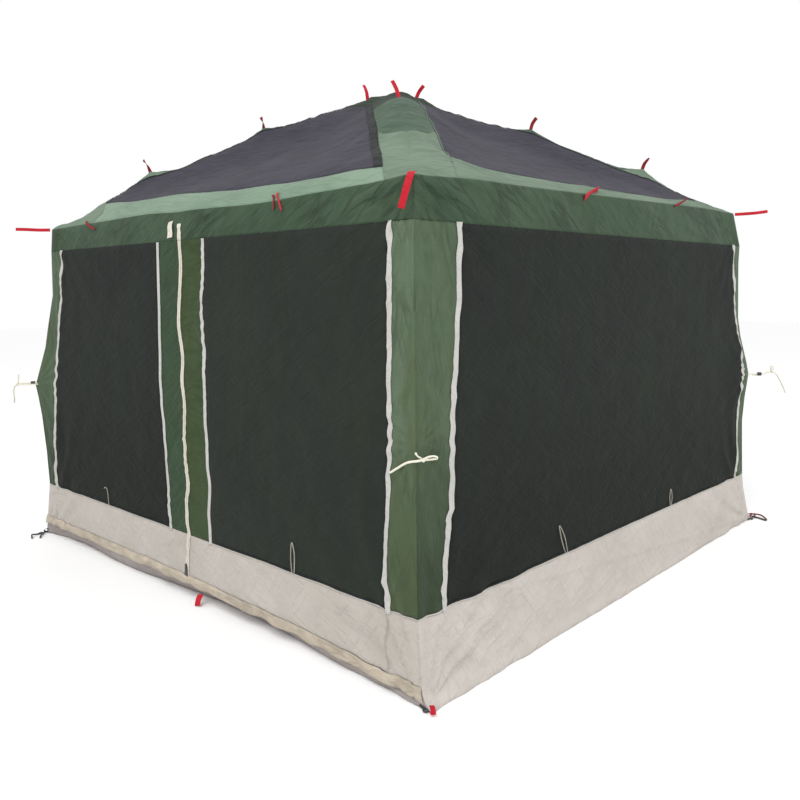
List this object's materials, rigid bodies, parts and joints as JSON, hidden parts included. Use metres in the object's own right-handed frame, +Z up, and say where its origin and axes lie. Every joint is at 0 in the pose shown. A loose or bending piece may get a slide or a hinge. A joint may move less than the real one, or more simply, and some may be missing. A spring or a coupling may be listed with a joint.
{
  "type": "screen house",
  "caption": "Square walk-in camping shelter with mesh walls and roof, a zipped double door, a ground skirt and a telescoping pole frame inside.",
  "frame": {"origin": "on the ground under the peak, the middle of the base", "axes": "+Z up, the door wall faces -Y, +X to the right of someone facing the door"},
  "size_m": [3.3379, 3.3377, 2.645],
  "materials": {
    "steel_tube": "satin grey powder coat",
    "pin_steel": "brushed",
    "black_plastic": "moulded, fine grain",
    "foot_rubber": "matt",
    "zip_metal": "black enamel",
    "green_cloth": "woven polyester, dark green",
    "light_green_cloth": "woven polyester, green",
    "roof_mesh": "fine mesh, dark grey violet",
    "window_mesh": "fine mesh, near black",
    "skirt_cloth": "coated polyester, beige grey",
    "cream_tape": "woven tape",
    "red_webbing": "woven webbing",
    "cream_cord": "braided cord"
  },
  "bodies": {
    "root": {"hub": "black_plastic", "hub_cap": "black_plastic", "upper_rafters": "steel_tube", "lower_rafters": "steel_tube", "rafter_ferrules": "steel_tube", "eave_elbows": "black_plastic", "upper_legs": "steel_tube", "leg_collars": "black_plastic", "lever_pins": "pin_steel", "roof_mesh_front": "roof_mesh", "roof_mesh_right": "roof_mesh", "roof_mesh_back": "roof_mesh", "roof_mesh_left": "roof_mesh", "hip_bands": "light_green_cloth", "eave_bands": "light_green_cloth", "peak_cap": "light_green_cloth", "valance": "green_cloth", "window_right": "window_mesh", "window_back": "window_mesh", "window_left": "window_mesh", "corner_strip_front_right": "green_cloth", "corner_strip_back_right": "green_cloth", "corner_strip_back_left": "green_cloth", "corner_strip_front_left": "green_cloth", "skirt_front": "skirt_cloth", "skirt_right": "skirt_cloth", "skirt_back": "skirt_cloth", "skirt_left": "skirt_cloth", "window_tapes": "cream_tape", "webbing_tabs": "red_webbing", "peg_plates": "black_plastic", "corner_tie_front_right": "cream_cord", "corner_tie_back_right": "cream_cord", "corner_tie_back_left": "cream_cord", "corner_tie_front_left": "cream_cord", "cord_locks": "black_plastic"},
    "door_leaf_left": {"door_mesh_left": "window_mesh", "door_strip_left": "green_cloth", "door_skirt_left": "skirt_cloth", "door_tapes_left": "cream_tape"},
    "door_leaf_right": {"door_mesh_right": "window_mesh", "door_strip_right": "green_cloth", "door_skirt_right": "skirt_cloth", "door_tapes_right": "cream_tape"},
    "zip_slider": {"door_slider": "zip_metal"},
    "pull_tab": {"slider_pull": "cream_tape"},
    "leg_front_right": {"lower_leg_front_right": "steel_tube", "foot_front_right": "foot_rubber"},
    "lever_front_right": {"clamp_lever_front_right": "black_plastic"},
    "leg_back_right": {"lower_leg_back_right": "steel_tube", "foot_back_right": "foot_rubber"},
    "lever_back_right": {"clamp_lever_back_right": "black_plastic"},
    "leg_back_left": {"lower_leg_back_left": "steel_tube", "foot_back_left": "foot_rubber"},
    "lever_back_left": {"clamp_lever_back_left": "black_plastic"},
    "leg_front_left": {"lower_leg_front_left": "steel_tube", "foot_front_left": "foot_rubber"},
    "lever_front_left": {"clamp_lever_front_left": "black_plastic"}
  },
  "joints": [
    {"name": "door_left_swing", "type": "hinge", "parent": "root", "child": "door_leaf_left", "pos_m": [-1.38962, -1.53041, 0.1], "axis": [-0.0416, -0.0458, -0.9981], "range_deg": [0, 90]},
    {"name": "door_right_swing", "type": "hinge", "parent": "root", "child": "door_leaf_right", "pos_m": [1.38962, -1.53041, 0.1], "axis": [-0.0416, 0.0458, 0.9981], "range_deg": [0, 90]},
    {"name": "zip_slide", "type": "slide", "parent": "door_leaf_left", "child": "zip_slider", "axis": [0, 0.0458, 0.9989], "range_m": [0, 1.49]},
    {"name": "pull_swing", "type": "hinge", "parent": "zip_slider", "child": "pull_tab", "pos_m": [0, -1.53886, 0.1708], "axis": [-1, 0, 0], "range_deg": [0, 120]},
    {"name": "leg_slide_front_right", "type": "slide", "parent": "root", "child": "leg_front_right", "axis": [0, 0, 1], "range_m": [0, 0.76]},
    {"name": "lever_flip_front_right", "type": "hinge", "parent": "root", "child": "lever_front_right", "pos_m": [1.38449, -1.38449, 0.925], "axis": [0.7071, 0.7071, 0], "range_deg": [0, 110]},
    {"name": "leg_slide_back_right", "type": "slide", "parent": "root", "child": "leg_back_right", "axis": [0, 0, 1], "range_m": [0, 0.76]},
    {"name": "lever_flip_back_right", "type": "hinge", "parent": "root", "child": "lever_back_right", "pos_m": [1.38449, 1.38449, 0.925], "axis": [-0.7071, 0.7071, 0], "range_deg": [0, 110]},
    {"name": "leg_slide_back_left", "type": "slide", "parent": "root", "child": "leg_back_left", "axis": [0, 0, 1], "range_m": [0, 0.76]},
    {"name": "lever_flip_back_left", "type": "hinge", "parent": "root", "child": "lever_back_left", "pos_m": [-1.38449, 1.38449, 0.925], "axis": [-0.7071, -0.7071, 0], "range_deg": [0, 110]},
    {"name": "leg_slide_front_left", "type": "slide", "parent": "root", "child": "leg_front_left", "axis": [0, 0, 1], "range_m": [0, 0.76]},
    {"name": "lever_flip_front_left", "type": "hinge", "parent": "root", "child": "lever_front_left", "pos_m": [-1.38449, -1.38449, 0.925], "axis": [0.7071, -0.7071, 0], "range_deg": [0, 110]}
  ]
}
